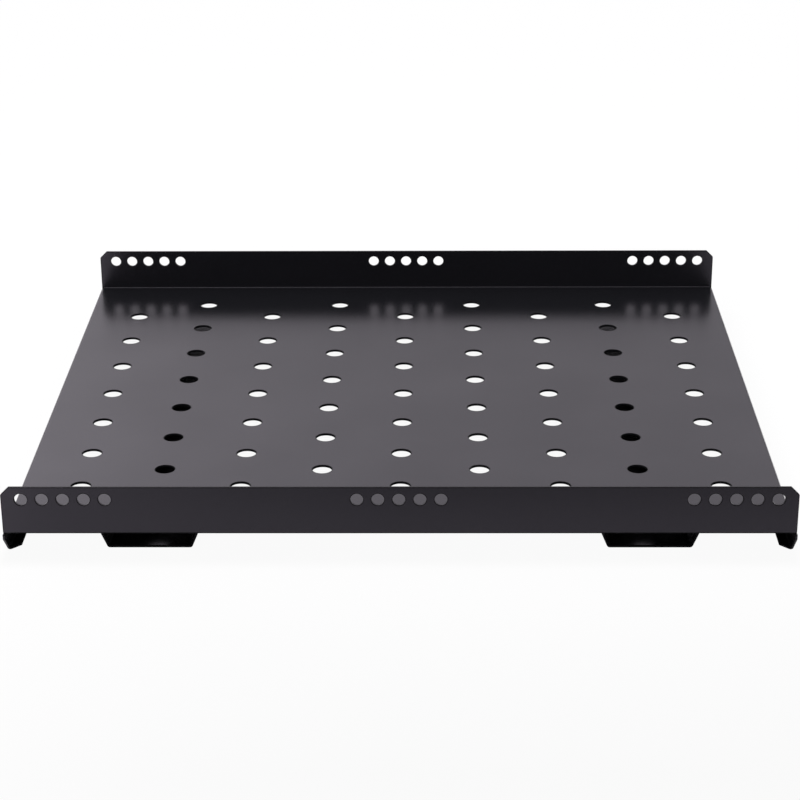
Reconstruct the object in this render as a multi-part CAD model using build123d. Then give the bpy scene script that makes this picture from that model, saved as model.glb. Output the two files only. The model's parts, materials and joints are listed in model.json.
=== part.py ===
"""Ventilated rack shelf: one folded steel sheet, with two hat stiffeners welded under its deck.

Millimetres. X runs along the two perforated flanges, Y from the front flange to the rear one, Z up.
The origin lies under the middle of the shelf, on the surface that its lips and stiffeners rest on.
"""
from build123d import *
import math
import os

# Sheet and bends
sheet = 1.5  # thickness of the steel
bend_inside = 0.5  # inside radius of every bend

# Shelf, over its outer skins
shelf_length = 475.0  # from one down-turned edge to the other
shelf_width = 430.0  # from the front flange to the rear one
edge_drop = 17.7  # depth of the down-turned edges below the top of the deck
lip_width = 7.5  # lip turned inwards under each down-turned edge

# Perforated flanges, turned up at front and rear
flange_height = 29.5  # above the top of the deck
flange_end_gap = 0.5  # by which each end stops short of the down-turned edge
flange_chamfer = 5.0  # 45 degree cut on the two top corners
flange_corner_radius = 1.0  # rounding where that cut meets the edges
flange_hole_diameter = 7.7
flange_hole_drop = 8.0  # hole centres below the top edge of the flange
flange_hole_pitch = 12.5
flange_hole_margin = 12.5  # from each down-turned edge to the centre of the first hole
flange_holes_in_group = 5
flange_groups = 3

# Ventilation holes of the deck, in two staggered grids
vent_diameter = 12.7
vent_margin_x = 37.5  # from each down-turned edge to the first column of the inner grid
vent_margin_y = 40.0  # from each flange to the first row of the outer grid
outer_columns = 4  # this grid has the rows nearest to the flanges
outer_rows = 8
inner_columns = 5  # this grid sits between those rows and has the columns nearest to the edges
inner_rows = 7

# Corners of the flat blank
corner_cut_start = 5.0  # depth down the edge where the 45 degree cut of the blank starts
relief_slit = 1.0  # slit that parts the bend of a flange from the bend of an edge

# Hat stiffeners
stiffener_inset = 15.0  # by which each end stops short of the flange
stiffener_from_edge = 86.0  # from each down-turned edge to the centre line of a stiffener
crown_width = 51.0  # flat bottom of the hat, over its sharp corners
wall_slope = 23.0  # degrees from upright
foot_width = 10.0  # width of each foot that is welded to the deck

# Heights and places that follow
clear = 1.0  # by which a cutter runs past what it cuts
bend_outside = bend_inside + sheet
deck_top = edge_drop
deck_under = deck_top - sheet
flange_top = deck_top + flange_height
half_length = shelf_length / 2
half_width = shelf_width / 2
deck_end_x = half_length - bend_outside  # where the flat deck starts to turn down
deck_end_y = half_width - bend_outside  # where the flat deck starts to turn up
flange_half_length = half_length - flange_end_gap
hole_group_length = flange_hole_pitch * (flange_holes_in_group - 1)
hole_line_length = shelf_length - 2 * flange_hole_margin
flange_group_pitch = (hole_line_length - hole_group_length) / (flange_groups - 1)
vent_pitch_x = (shelf_length - 2 * vent_margin_x) / (inner_columns - 1)
vent_pitch_y = (shelf_width - 2 * vent_margin_y) / (outer_rows - 1)
stiffener_length = shelf_width - 2 * stiffener_inset
stiffener_x = half_length - stiffener_from_edge
slit_end_y = deck_end_y - relief_slit
slit_bottom = deck_top - bend_outside
past_flange = half_width + clear
cut_at_bend = half_width - (edge_drop - bend_outside - corner_cut_start)  # wall crossed
cut_at_lip = cut_at_bend - math.pi / 2 * (bend_inside + sheet / 2)  # bend wound round


def folded_strip(corners, radii, thickness_side, plane, length):
    """Sheet folded along straight bends: one skin runs through the corners, drawn on the plane."""
    skin = FilletPolyline(*corners, radius=radii)
    outline = offset(skin, sheet, side=thickness_side)
    return extrude(plane * make_face(outline.edges()), length / 2, both=True)


def box_between(low, high):
    """Box from its lowest to its highest corner."""
    size = [top - bottom for bottom, top in zip(low, high)]
    return Pos(*low) * Box(*size, align=(Align.MIN, Align.MIN, Align.MIN))


def edged_deck():
    """Deck with its two ends turned down and then inwards, as one long channel."""
    corners = [
        (half_length - lip_width, 0),
        (half_length, 0),
        (half_length, deck_top),
        (-half_length, deck_top),
        (-half_length, 0),
        (-half_length + lip_width, 0),
    ]
    return folded_strip(corners, bend_outside, Side.LEFT, Plane.XZ, shelf_width)


def flange():
    """Rear flange with its bend and the strip of deck between the two relief slits."""
    corners = [(slit_end_y, deck_under), (half_width, deck_under), (half_width, flange_top)]
    strip = folded_strip(corners, bend_outside, Side.LEFT, Plane.YZ, 2 * flange_half_length)
    return strip & flange_outline()


def flange_outline():
    """Both flanges seen from the front: a long rectangle with its top corners cut and rounded."""
    corners = [
        (-flange_half_length, 0),
        (flange_half_length, 0),
        (flange_half_length, flange_top - flange_chamfer),
        (flange_half_length - flange_chamfer, flange_top),
        (-flange_half_length + flange_chamfer, flange_top),
        (-flange_half_length, flange_top - flange_chamfer),
    ]
    radii = [0, 0] + [flange_corner_radius] * 4
    outline = FilletPolyline(*corners, radius=radii, close=True)
    return extrude(Plane.XZ * make_face(outline.edges()), half_width + clear, both=True)


def flange_holes():
    """Fixing holes in groups, through both flanges at once."""
    row = Sketch()
    for group in GridLocations(flange_group_pitch, 0, flange_groups, 1):
        for place in GridLocations(flange_hole_pitch, 0, flange_holes_in_group, 1):
            row += group * place * Circle(flange_hole_diameter / 2)
    hole_line = Plane.XZ * Pos(0, flange_top - flange_hole_drop)
    return extrude(hole_line * row, half_width + clear, both=True)


def vents():
    """Ventilation holes through the deck, the one grid staggered between the rows of the other."""
    outer = GridLocations(vent_pitch_x, vent_pitch_y, outer_columns, outer_rows)
    inner = GridLocations(vent_pitch_x, vent_pitch_y, inner_columns, inner_rows)
    circles = Sketch() + [place * Circle(vent_diameter / 2) for place in [*outer, *inner]]
    return extrude(Pos(0, 0, deck_under - clear) * circles, sheet + 2 * clear)


def flange_room():
    """Room at the rear above the down-turned edges, in which the flange and its bend stand."""
    return box_between(
        (-half_length - clear, slit_end_y, slit_bottom),
        (half_length + clear, half_width + clear, deck_top + clear),
    )


def relief_slits():
    """Slits at the two rear corners, between the bend of the flange and the bends of the edges."""
    slit = box_between(
        (deck_end_x, slit_end_y, slit_bottom),
        (half_length + clear, deck_end_y, deck_top + clear),
    )
    return slit + mirror(slit, Plane.YZ)


def wall_cut():
    """The corner cut where it crosses the upright wall of the edge, 45 degrees across it."""
    cut_start = deck_top - corner_cut_start
    outline = Polyline(
        (past_flange, cut_start + clear),
        (cut_at_bend, bend_outside),
        (past_flange, bend_outside),
        close=True,
    )
    side_view = Plane.YZ * make_face(outline.edges())
    return Pos(half_length, 0, 0) * extrude(side_view, bend_outside, both=True)


def bend_cut():
    """The corner cut where it winds round the bend: a half disc that turns as it moves inwards."""
    bend_axis = Vector(deck_end_x, cut_at_bend, bend_outside)
    across = Plane(bend_axis, x_dir=(1, 0, 0), z_dir=(0, -1, 0))
    rim = across * CenterArc((0, 0), bend_outside + clear, 180, 180)
    half_disc = Face(Wire([rim.edge(), Line(rim @ 1, rim @ 0).edge()]))
    travel = Vector(0, cut_at_lip - cut_at_bend, 0)
    winding = Solid.extrude_linear_with_rotation(half_disc, bend_axis, travel, -90)
    tip = box_between(
        (deck_end_x, cut_at_bend, -clear), (half_length + clear, past_flange, bend_outside)
    )
    return winding + tip


def lip_cut():
    """The corner cut where it crosses the lip, 45 degrees across it again."""
    lip_run = lip_width + clear - bend_outside
    outline = Polyline(
        (deck_end_x, cut_at_lip),
        (deck_end_x - lip_run, cut_at_lip - lip_run),
        (deck_end_x - lip_run, past_flange),
        (deck_end_x, past_flange),
        close=True,
    )
    return Pos(0, 0, -clear) * extrude(make_face(outline.edges()), bend_outside + clear)


def corner_cut():
    """The straight cut of one corner of the blank, carried over the folded edge.

    It is square to the sheet all the way, on the wall, round the bend and on the lip, as a
    punched edge is once the sheet is folded.
    """
    return wall_cut() + bend_cut() + lip_cut()


def shelf_panel():
    """The folded sheet: the edged deck, then front and rear flange, then all holes and cuts."""
    cut = corner_cut()
    rear_cuts = cut + mirror(cut, Plane.YZ)
    rear_flange = flange()
    panel = edged_deck()
    panel -= flange_room() + mirror(flange_room(), Plane.XZ)
    panel += rear_flange
    panel += mirror(rear_flange, Plane.XZ)
    panel -= relief_slits() + mirror(relief_slits(), Plane.XZ)
    panel -= rear_cuts + mirror(rear_cuts, Plane.XZ)
    return panel - flange_holes() - vents()


def stiffener():
    """Hat section under the deck, its two feet flat against the underside."""
    foot_under = deck_under - sheet
    crown_edge = crown_width / 2
    foot_edge = crown_edge + foot_under * math.tan(math.radians(wall_slope))
    half_profile = [
        (crown_edge, 0),
        (foot_edge, foot_under),
        (foot_edge + foot_width, foot_under),
    ]
    mirrored_profile = [(-x, z) for x, z in reversed(half_profile)]
    radii = [bend_inside, bend_outside, bend_outside, bend_inside]
    corners = mirrored_profile + half_profile
    return folded_strip(corners, radii, Side.LEFT, Plane.XZ, stiffener_length)


nodes = {
    "shelf_panel": shelf_panel(),
    "stiffener_left": Pos(-stiffener_x, 0, 0) * stiffener(),
    "stiffener_right": Pos(stiffener_x, 0, 0) * stiffener(),
}

os.makedirs("parts", exist_ok=True)
for name, solid in nodes.items():
    export_step(solid, f"parts/{name}.step")
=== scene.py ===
# %% [markdown]
# # A ventilated rack shelf
#
# The shelf is one folded sheet of steel with two hat-section stiffeners welded under its deck,
# powder coated black. Its solids come from CAD at their real size, so this lesson is about the
# rest of the picture: a coating that shines as the real one does, a white studio that it can
# reflect, and a camera at the right place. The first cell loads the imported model. Its objects
# lie at the origin, in metres, with X along the flanges, Y to the rear and Z up.

# %% Load the frame
import json
import math

import bpy
from mathutils import Matrix

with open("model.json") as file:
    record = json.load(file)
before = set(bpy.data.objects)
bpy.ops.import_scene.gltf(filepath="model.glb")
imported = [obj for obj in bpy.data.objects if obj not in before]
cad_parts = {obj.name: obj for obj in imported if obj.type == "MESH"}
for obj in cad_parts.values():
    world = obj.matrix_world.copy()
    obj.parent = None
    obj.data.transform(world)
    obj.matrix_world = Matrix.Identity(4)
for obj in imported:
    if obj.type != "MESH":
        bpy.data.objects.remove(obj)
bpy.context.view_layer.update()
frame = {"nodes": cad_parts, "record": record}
nodes = frame["nodes"]
print("nodes:", sorted(nodes))

# %% [markdown]
# ## Colours as they are written
#
# A hex colour such as #1E1D20 is an sRGB value, made for a screen. Blender's shader sockets
# want linear light, so one function turns the one into the other. Every colour of a finish in
# this lesson goes through it.


# %% From a hex colour to linear light
def linear(hex_colour):
    """The linear RGBA of an sRGB hex colour."""
    channels = [int(hex_colour[i : i + 2], 16) / 255 for i in (1, 3, 5)]
    light = [c / 12.92 if c <= 0.04045 else ((c + 0.055) / 1.055) ** 2.4 for c in channels]
    return (*light, 1.0)


print("mid grey #808080 is", [round(c, 3) for c in linear("#808080")])

# %% [markdown]
# ## One helper for nodes
#
# A material is a graph of nodes. Each node needs a type, a few settings, some values on its
# inputs and links from other nodes. The helper below takes them all at once, so each step of a
# material reads like one sentence. An input is given by its name, or by its number where a node
# has several of one name, as the Math and Mix nodes have. A value that is an output socket
# becomes a link, and anything else is set on the input itself. Stops are for a colour ramp, in
# rising order.


# %% Add a node with its settings and links
def add_node(tree, kind, settings=None, stops=(), inputs=None, **named_inputs):
    """Adds a node, sets its properties and stops, and sets or links its inputs."""
    node = tree.nodes.new(kind)
    for name, value in (settings or {}).items():
        setattr(node, name, value)
    for _ in stops[2:]:
        node.color_ramp.elements.new(1.0)
    for number, (position, colour) in enumerate(stops):
        stop = node.color_ramp.elements[number]
        stop.position, stop.color = position, colour
    wanted = {name.replace("_", " "): value for name, value in named_inputs.items()}
    for key, value in {**(inputs or {}), **wanted}.items():
        if isinstance(value, bpy.types.NodeSocket):
            tree.links.new(value, node.inputs[key])
        else:
            node.inputs[key].default_value = value
    return node


def empty_tree(owner):
    """The node tree of a material or a world, cleared."""
    owner.use_nodes = True
    owner.node_tree.nodes.clear()
    return owner.node_tree


# %% [markdown]
# ## The finish: smooth black powder coat
#
# Powder coat is a polyester powder that is sprayed on dry and melted in an oven. It flows out
# to a film about 0.08 mm thick, with a faint waviness called orange peel, whose hills stand
# 1 to 3 mm apart and are about a hundredth of a millimetre high. Its black pigment gives back
# less than one hundredth of the light, so nearly all that one sees is the reflection on the clear
# film above the pigment: dark where one looks straight at it, and grey where one looks along
# it towards a white wall. That is what the Principled shader does with an IOR of 1.5 and a low
# roughness, so no grey is painted anywhere.

# %% Start the material
coat = bpy.data.materials.new("smooth_black_powder_coat")
coat_tree = empty_tree(coat)
place = add_node(coat_tree, "ShaderNodeTexCoord").outputs["Object"]
print("material:", coat.name)

# %% [markdown]
# ### Rounded edges
#
# A bent or punched edge of real sheet is never as sharp as a drawing's, and the powder rounds
# it further. The Bevel node turns the normals near an edge as if the edge were rounded, with no
# change to the mesh, so the light runs softly over each edge. It looks about with a few rays for
# each sample of the picture, and eight are enough here.

# %% Round the edges in the shading
edge_rounding = 0.00075
edge_rays = {"samples": 8}
rounded_edge = add_node(coat_tree, "ShaderNodeBevel", edge_rays, Radius=edge_rounding)
print("edges look rounded by", edge_rounding * 1000, "mm")

# %% [markdown]
# ### Orange peel
#
# Noise gives the hills. Its scale counts features in one metre, so a spacing of 2 mm is a scale
# of 1 / 0.002 = 500. A finer noise, 0.5 mm apart, is the bite that is left in a semi-gloss
# film. Bump nodes turn both into a tilt of the surface, on top of the rounded normals, and
# their distance is the height of the hills in metres.

# %% Hills of the orange peel
peel_spacing = 0.0022
peel_height = 0.000012
peel = add_node(
    coat_tree, "ShaderNodeTexNoise", Vector=place, Scale=1 / peel_spacing, Detail=1.0
)
hills = add_node(
    coat_tree,
    "ShaderNodeBump",
    Height=peel.outputs["Fac"],
    Normal=rounded_edge.outputs["Normal"],
    Strength=1.0,
    Distance=peel_height,
)
print("orange peel:", peel_spacing * 1000, "mm apart,", peel_height * 1000, "mm high")

# %% The fine bite between them
bite_spacing = 0.0005
bite_height = 0.0000015
bite = add_node(
    coat_tree, "ShaderNodeTexNoise", Vector=place, Scale=1 / bite_spacing, Detail=1.0
)
film = add_node(
    coat_tree,
    "ShaderNodeBump",
    Height=bite.outputs["Fac"],
    Normal=hills.outputs["Normal"],
    Strength=1.0,
    Distance=bite_height,
)
print("bite:", bite_spacing * 1000, "mm apart,", bite_height * 1000, "mm high")

# %% [markdown]
# ### Gloss
#
# A film is never equally glossy all over: it is a little thicker here and a little thinner
# there, over patches as large as a hand. A slow noise moves the roughness up and down by one
# or two hundredths. Its values gather about 0.5, so only the part from 0.3 to 0.7 is used.

# %% Roughness that varies a little
patch_size = 0.07
glossiest, dullest = 0.225, 0.255
patches = add_node(
    coat_tree, "ShaderNodeTexNoise", Vector=place, Scale=1 / patch_size, Detail=2.0
)
gloss = add_node(
    coat_tree,
    "ShaderNodeMapRange",
    Value=patches.outputs["Fac"],
    From_Min=0.3,
    From_Max=0.7,
    To_Min=glossiest,
    To_Max=dullest,
)
print("roughness from", glossiest, "to", dullest, "in patches of", patch_size * 1000, "mm")

# %% [markdown]
# ### Pigment
#
# Under the clear surface lies carbon black with a little filler in it, ground fine. The two
# blacks lie close together, in specks just under a millimetre wide, so they show only from
# close by. Real specks are finer still, and too fine to show in a picture of this size.

# %% Two close blacks
speck_size = 0.0008
specks = add_node(
    coat_tree, "ShaderNodeTexNoise", Vector=place, Scale=1 / speck_size, Detail=2.0
)
pigment = add_node(
    coat_tree,
    "ShaderNodeValToRGB",
    stops=((0.35, linear("#121315")), (0.65, linear("#161719"))),
    Fac=specks.outputs["Fac"],
)
print("specks of pigment:", speck_size * 1000, "mm")

# %% [markdown]
# ### Thin dull film and painted shade on the cut edges
#
# While the powder melts it draws back from every sharp edge, so the film on a cut or punched
# edge is thin and dull. The rims also get painted shade, which stands in for the rounded edge
# mirroring the dark room. A second Bevel node, with a wider reach, finds such an edge: near it,
# the rounded normal leans away from the surface's own one. Their dot product is one on a flat
# and falls towards the edge, and a Map Range turns that into a mask of the rims.

# %% Find the rims
rim_reach = 0.0013
rim_begins, rim_is_full = 0.985, 0.9
reach = add_node(coat_tree, "ShaderNodeBevel", edge_rays, Radius=rim_reach)
skin = add_node(coat_tree, "ShaderNodeNewGeometry")
lean = add_node(
    coat_tree,
    "ShaderNodeVectorMath",
    {"operation": "DOT_PRODUCT"},
    inputs={0: reach.outputs["Normal"], 1: skin.outputs["Normal"]},
)
rim = add_node(
    coat_tree,
    "ShaderNodeMapRange",
    {"interpolation_type": "SMOOTHSTEP"},
    Value=lean.outputs["Value"],
    From_Min=rim_begins,
    From_Max=rim_is_full,
)
print("the rims reach", rim_reach * 1000, "mm from an edge")

# %% [markdown]
# The mask makes the rims duller, which is the thin film. It also takes most of the reflected
# light from them and deepens their pigment, which is painted shade: it draws the thin dark rim
# round each vent and along the top of each flange. Away from the rims the reflection is very
# slightly violet, as on many blacks.

# %% Dull rims with painted shade
rim_roughness = 0.5
# The rims' tint and black are painted shade: they darken the reflection and the pigment on every
# rim.
tint_on_flats, painted_shade_tint_on_rims = "#F7EFFF", "#1C1C1C"
painted_shade_black_on_rims = "#060606"
dull = add_node(
    coat_tree,
    "ShaderNodeMapRange",
    Value=rim.outputs["Result"],
    To_Min=gloss.outputs["Result"],
    To_Max=rim_roughness,
)
reflection_with_painted_rim_shade = add_node(
    coat_tree,
    "ShaderNodeMix",
    {"data_type": "RGBA"},
    inputs={0: rim.outputs["Result"], 6: linear(tint_on_flats), 7: linear(painted_shade_tint_on_rims)},
)
# Painted shade: the pigment is darkened on the rims.
black = add_node(
    coat_tree,
    "ShaderNodeMix",
    {"data_type": "RGBA"},
    inputs={0: rim.outputs["Result"], 6: pigment.outputs["Color"], 7: linear(painted_shade_black_on_rims)},
)
print("roughness on the rims:", rim_roughness)

# %% [markdown]
# ### The shader
#
# The parts come together in one Principled shader. The IOR, 1.5 for polyester, is the same all
# over, so it is a plain number on the shader.

# %% Shader and output
shine = add_node(
    coat_tree,
    "ShaderNodeBsdfPrincipled",
    Base_Color=black.outputs[2],
    Roughness=dull.outputs["Result"],
    Normal=film.outputs["Normal"],
    IOR=1.5,
    Specular_Tint=reflection_with_painted_rim_shade.outputs[2],
)
add_node(coat_tree, "ShaderNodeOutputMaterial", Surface=shine.outputs["BSDF"])
print("nodes in the coat:", len(coat_tree.nodes))

# %% [markdown]
# ## The coat goes on all three pieces
#
# The shelf is coated after it is welded, so the folded sheet and both stiffeners have the same
# film. A CAD node keeps its mesh, and only its material slots change.

# %% Coat the CAD nodes
for name, node in nodes.items():
    node.data.materials.clear()
    node.data.materials.append(coat)
    print(name, "has", len(node.data.polygons), "triangles")

# %% [markdown]
# ## A plain white studio
#
# In a shop's picture the ground and the wall are plain white, with hardly a shadow. The Light
# Path node says what kind of ray arrives: rays from the camera, and those through glass, see
# nearly plain white, and a small share of real shading keeps the soft shadow. Reflected rays
# see next to nothing of the plain white, so that the dark gap under the shelf stays dark in
# the gloss of its folded edges.

# %% How plain white each kind of ray sees the studio
plain_for_camera = 0.95
plain_in_gloss = 0.03


def plain_share(tree):
    """The share of plain white that the arriving ray sees, as a socket."""
    ray = add_node(tree, "ShaderNodeLightPath").outputs
    seen = add_node(
        tree,
        "ShaderNodeMath",
        {"operation": "MAXIMUM"},
        inputs={0: ray["Is Camera Ray"], 1: ray["Is Transmission Ray"]},
    )
    direct = add_node(
        tree,
        "ShaderNodeMath",
        {"operation": "MULTIPLY"},
        inputs={0: seen.outputs[0], 1: plain_for_camera},
    )
    share = add_node(
        tree,
        "ShaderNodeMath",
        {"operation": "MULTIPLY_ADD"},
        inputs={0: ray["Is Glossy Ray"], 1: plain_in_gloss, 2: direct.outputs[0]},
    )
    return share.outputs[0]


print("plain white for the camera:", plain_for_camera, "and in gloss:", plain_in_gloss)

# %% [markdown]
# ## The floor
#
# The shelf lies on its lips and stiffeners, so the floor is at height zero. It is a plane so
# large that no view finds its edge, covered with matt white paper. A matt surface sends its
# light equally in all directions, so the paper needs only a Diffuse shader.

# %% Lay the floor
floor_size = 14.0
bpy.ops.object.select_all(action="DESELECT")
bpy.ops.mesh.primitive_plane_add(size=floor_size, location=(0, 0, 0))
floor = bpy.context.object
floor.name = "studio_floor"
paper = bpy.data.materials.new("matt_white_paper")
paper_tree = empty_tree(paper)
spot = add_node(paper_tree, "ShaderNodeTexCoord").outputs["Object"]
ground = add_node(paper_tree, "ShaderNodeSeparateXYZ", Vector=spot).outputs
print("floor:", floor_size, "m wide")

# %% [markdown]
# ### Painted shade on the paper in front of the shelf
#
# An upright glossy flange mirrors the ground that lies before it, so the shade on that ground
# sets its tone. Here that shade is painted into the paper's colour as a grey area. It darkens
# away from the shelf, and so the flange grows darker from its foot to its top.

# %% Painted shade, by the distance in front
paper_white = "#F4F4F4"
front_shade_far, front_shade_near = -0.45, -0.2
# These greys are painted shade on the floor, darker further from the shelf.
front_shade_stops = (
    (front_shade_far, "#3C3C3C"),
    (-0.32, "#A3A3A3"),
    (-0.235, "#D2D2D2"),
    (front_shade_near, paper_white),
)
ahead = add_node(
    paper_tree,
    "ShaderNodeMapRange",
    Value=ground["Y"],
    From_Min=front_shade_far,
    From_Max=front_shade_near,
)
painted_front_shade = add_node(
    paper_tree,
    "ShaderNodeValToRGB",
    stops=[((y - front_shade_far) / (front_shade_near - front_shade_far), linear(grey)) for y, grey in front_shade_stops],
    Fac=ahead.outputs["Result"],
)
print("the card starts", -front_shade_near * 1000, "mm in front of the shelf's middle")

# %% [markdown]
# The painted shade thins out towards the left, where the paper stays white, as painted light
# from the left. That gives the left end of the front flange its lighter tone. The ramp runs
# from the far left to the shelf's middle.

# %% The painted shade thins out to the left
# These shares fade the painted shade out towards the left end, where the paper is painted as lit.
front_shade_shares = ((-0.27, 0.0), (-0.23, 0.55), (-0.1, 0.88), (0.0, 1.0))
front_shade_left = -0.4
beside = add_node(
    paper_tree, "ShaderNodeMapRange", Value=ground["X"], From_Min=front_shade_left, From_Max=0.0
)
front_shade_share = add_node(
    paper_tree,
    "ShaderNodeValToRGB",
    stops=[(1 - x / front_shade_left, (share, share, share, 1.0)) for x, share in front_shade_shares],
    Fac=beside.outputs["Result"],
)
paper_with_painted_front_shade = add_node(
    paper_tree,
    "ShaderNodeMix",
    {"data_type": "RGBA"},
    inputs={0: front_shade_share.outputs["Color"], 6: linear(paper_white), 7: painted_front_shade.outputs["Color"]},
)
print("the card is gone at x =", front_shade_shares[0][0] * 1000, "mm")

# %% [markdown]
# ### Painted shade under the shelf
#
# Little light reaches the ground under a shelf that stands 18 mm above it. That shade is painted
# into the paper as a dark grey, out to just past the outline of the shelf, with a soft border.
# This keeps the bend at the foot of the front flange and the ends of the stiffeners dark, since
# they mirror that ground. Each axis has its own border, and the second mask rises no higher
# than the first, so together they make a rectangle.

# %% Painted shade under the shelf
# The dark grey of the painted shade under the shelf.
painted_shade_under_shelf = "#303030"
painted_shade_borders = (("X", 0.245, 0.235), ("Y", 0.232, 0.215))
painted_shade_mask_under_shelf = 1.0
for axis, outer, inner in painted_shade_borders:
    away = add_node(
        paper_tree, "ShaderNodeMath", {"operation": "ABSOLUTE"}, inputs={0: ground[axis]}
    )
    inside = add_node(
        paper_tree,
        "ShaderNodeMapRange",
        {"interpolation_type": "SMOOTHSTEP"},
        Value=away.outputs[0],
        From_Min=outer,
        From_Max=inner,
        To_Max=painted_shade_mask_under_shelf,
    )
    painted_shade_mask_under_shelf = inside.outputs["Result"]
paper_colour = add_node(
    paper_tree,
    "ShaderNodeMix",
    {"data_type": "RGBA"},
    inputs={0: painted_shade_mask_under_shelf, 6: paper_with_painted_front_shade.outputs[2], 7: linear(painted_shade_under_shelf)},
)
print("dark paper out to", [outer * 1000 for _, outer, _ in painted_shade_borders], "mm")

# %% [markdown]
# ### The paper's shader
#
# Two shaders are mixed: the matt paper, which takes light and shadow, and a plain white glow
# of strength 1, by the share that each kind of ray sees.

# %% Matt paper and plain white
matt = add_node(paper_tree, "ShaderNodeBsdfDiffuse", Color=paper_colour.outputs[2])
white = add_node(paper_tree, "ShaderNodeEmission", Color=(1, 1, 1, 1), Strength=1.0)
surface = add_node(
    paper_tree,
    "ShaderNodeMixShader",
    inputs={0: plain_share(paper_tree), 1: matt.outputs[0], 2: white.outputs[0]},
)
add_node(paper_tree, "ShaderNodeOutputMaterial", Surface=surface.outputs[0])
floor.data.materials.append(paper)
print("nodes in the paper:", len(paper_tree.nodes))

# %% [markdown]
# ## The room around the shelf
#
# Black gloss shows whatever is around it, so the room is what paints the shelf. The world
# describes the room by the direction in which a ray leaves. Its Z on the unit sphere says how
# high the ray points. The rear wall is dim at its foot, bright in one band about 25 degrees up,
# and dark above: the deck mirrors the band, and the rounded upper edges mirror the dark above
# it. The front wall, behind the camera, is dark, which keeps the rear flange black. A ramp
# holds no more than 1, so each level is divided by the brightest, and the background's
# strength brings it back.

# %% A level of light as a colour
brightest = 2.0


def level_of(light_level):
    """A level of light as a ramp's colour, which stays below 1."""
    return (*[light_level / brightest] * 3, 1.0)


print("a level of 1.0 is", level_of(1.0))

# %% Two walls, from the floor up
wall_levels = {
    "rear wall": (
        (0.0, 0.3),
        (0.33, 0.42),
        (0.36, 0.75),
        (0.39, 0.95),
        (0.45, 1.21),
        (0.53, 0.5),
        (0.62, 0.1),
    ),
    "front wall": ((0.0, 0.1), (0.75, 0.1)),
}
world = bpy.data.worlds.new("white_room")
bpy.context.scene.world = world
room = empty_tree(world)
way = add_node(room, "ShaderNodeTexCoord").outputs["Generated"]
axes = add_node(room, "ShaderNodeSeparateXYZ", Vector=way).outputs
walls = {}
for name, levels in wall_levels.items():
    stops = [(height, level_of(level)) for height, level in levels]
    ramp = add_node(room, "ShaderNodeValToRGB", {"label": name}, stops, Fac=axes["Z"])
    walls[name] = ramp.outputs["Color"]
print("walls:", list(walls))

# %% [markdown]
# The ray's Y says how much of each wall it meets, with a soft change between the two.

# %% Front and back
front_ends, rear_begins = -0.2, 0.25
rear = add_node(
    room,
    "ShaderNodeMapRange",
    {"interpolation_type": "SMOOTHSTEP"},
    Value=axes["Y"],
    From_Min=front_ends,
    From_Max=rear_begins,
)
meeting = add_node(
    room,
    "ShaderNodeMix",
    {"data_type": "RGBA"},
    inputs={0: rear.outputs["Result"], 6: walls["front wall"], 7: walls["rear wall"]},
)
print("the walls meet between y =", front_ends, "and", rear_begins)

# %% [markdown]
# The ray's X says left or right. The band of light is strongest at its left end, and so is its
# image along the left of the deck.

# %% Left and right along the rear wall
band_levels = (
    (-0.21, 1.76),
    (-0.14, 1.4),
    (-0.05, 1.12),
    (0.1, 1.04),
    (0.22, 1.07),
    (0.35, 1.0),
)
across = add_node(room, "ShaderNodeMapRange", Value=axes["X"], From_Min=-1.0, From_Max=1.0)
band = add_node(
    room,
    "ShaderNodeValToRGB",
    stops=[((x + 1.0) / 2, level_of(level)) for x, level in band_levels],
    Fac=across.outputs["Result"],
)
rear_light = add_node(
    room,
    "ShaderNodeVectorMath",
    {"operation": "MULTIPLY"},
    inputs={0: meeting.outputs[2], 1: band.outputs["Color"]},
)
print("levels along the band:", [level for _, level in band_levels])

# %% [markdown]
# ### Side screens
#
# A white screen hangs on either side of the shelf, the left one much brighter. They light the
# paper beside the shelf, and the ends of both flanges mirror that paper. They hang high, above
# plain side walls, so the deck doesn't mirror them when it is seen from a low side view.

# %% A screen high on either side
side_wall, left_screen, right_screen = 1.0, 4.0, 1.0
screen_foot, screen_full = 0.42, 0.6
left_or_right = add_node(
    room,
    "ShaderNodeValToRGB",
    stops=(
        (0.35, level_of(left_screen / brightest)),
        (0.65, level_of(right_screen / brightest)),
    ),
    Fac=across.outputs["Result"],
)
screen_height = add_node(
    room,
    "ShaderNodeMapRange",
    {"interpolation_type": "SMOOTHSTEP"},
    Value=axes["Z"],
    From_Min=screen_foot,
    From_Max=screen_full,
)
side_light = add_node(
    room,
    "ShaderNodeMix",
    {"data_type": "RGBA"},
    inputs={
        0: screen_height.outputs["Result"],
        6: level_of(side_wall / brightest),
        7: left_or_right.outputs["Color"],
    },
)
print("screens:", left_screen, "at the left and", right_screen, "at the right")

# %% Where the sides begin
side_begins, side_is_full = 0.35, 0.6
sideways = add_node(room, "ShaderNodeMath", {"operation": "ABSOLUTE"}, inputs={0: axes["X"]})
sides = add_node(
    room,
    "ShaderNodeMapRange",
    {"interpolation_type": "SMOOTHSTEP"},
    Value=sideways.outputs[0],
    From_Min=side_begins,
    From_Max=side_is_full,
)
around = add_node(
    room,
    "ShaderNodeMix",
    {"data_type": "RGBA"},
    inputs={0: sides.outputs["Result"], 6: rear_light.outputs[0], 7: side_light.outputs[2]},
)
print("the side walls begin at x =", side_begins)

# %% [markdown]
# ### The world's shader
#
# The light of the room is very slightly violet. The rear wall's levels were divided by the
# brightest one twice, once in each ramp that they pass, and the sides' levels too, so the
# strength is its square. The plain white comes in by the same share as on the floor, so floor
# and wall have no seam.

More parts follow.
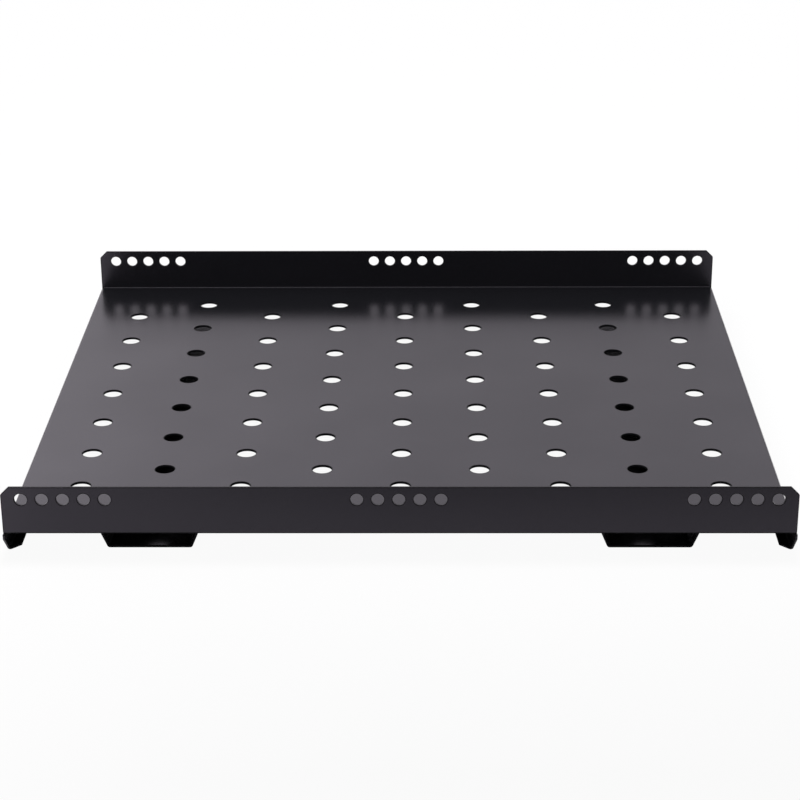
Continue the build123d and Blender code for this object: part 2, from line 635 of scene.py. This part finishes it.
# %% Room and plain white
room_tint = (1.05, 1.0, 1.07)
violet = add_node(
    room,
    "ShaderNodeVectorMath",
    {"operation": "MULTIPLY"},
    inputs={0: around.outputs[2], 1: room_tint},
)
light = add_node(
    room, "ShaderNodeBackground", Color=violet.outputs[0], Strength=brightest**2
)
plain = add_node(room, "ShaderNodeBackground", Color=(1, 1, 1, 1), Strength=1.0)
sky = add_node(
    room,
    "ShaderNodeMixShader",
    inputs={0: plain_share(room), 1: light.outputs[0], 2: plain.outputs[0]},
)
add_node(room, "ShaderNodeOutputWorld", Surface=sky.outputs[0])
print("nodes in the world:", len(room.nodes))

# %% [markdown]
# ## One soft lamp
#
# A large area lamp hangs overhead, a little in front of the shelf. It is what a photographer
# calls a softbox. It draws the fine line of light along the bend at the foot of the rear
# flange, and it gives the floor a gentle shadow. A lamp shines along its own minus Z, so its Z
# is pointed from the origin, where the shelf lies, to the place of the lamp.

# %% Softbox
softbox_place = (-0.2, -0.46, 2.0)
bpy.ops.object.light_add(type="AREA", location=softbox_place)
softbox = bpy.context.object
softbox.name = "softbox"
softbox.data.shape = "RECTANGLE"
softbox.data.size = 2.0
softbox.data.size_y = 0.9
softbox.data.energy = 18.0
softbox.rotation_euler = softbox.location.to_track_quat("Z", "Y").to_euler()
print("softbox:", softbox.data.energy, "W at", softbox_place)

# %% [markdown]
# ## The camera
#
# The lens and the place of the camera were found by fitting the shelf's own holes and edges to
# the picture. It looks down by about 23 degrees from 1.5 m away, through a 98 mm lens. A
# camera looks along its own minus Z with Y up, so its matrix is built from three small turns.
# Its height was measured from the top of the deck, which the record of the part gives, so the
# camera follows if the deck's height is ever changed.

# %% Camera
deck_top = next(
    mount["pos_m"][2] for mount in frame["record"]["mounts"] if mount["name"] == "deck_top"
)
bpy.ops.object.camera_add()
camera = bpy.context.object
camera.name = "main_camera"
camera.data.sensor_width = 36.0
camera.data.lens = 97.935
camera.data.clip_start = 0.05
camera.data.clip_end = 50.0
pitch, yaw, roll = math.radians(22.8818), math.radians(0.8669), math.radians(-0.3838)
turn = (
    Matrix.Rotation(yaw, 4, "Z")
    @ Matrix.Rotation(math.pi / 2 - pitch, 4, "X")
    @ Matrix.Rotation(roll, 4, "Z")
)
camera_x, camera_y, above_deck = 0.018714, -1.380893, 0.577731
spot_of_camera = (camera_x, camera_y, deck_top + above_deck)
camera.matrix_world = Matrix.Translation(spot_of_camera) @ turn
bpy.context.scene.camera = camera
print("camera at", [round(v, 3) for v in camera.matrix_world.to_translation()])

# %% [markdown]
# ## Plain colour
#
# The Standard view shows each colour as it is written.

# %% Finish
bpy.context.scene.view_settings.view_transform = "Standard"
bpy.context.view_layer.update()
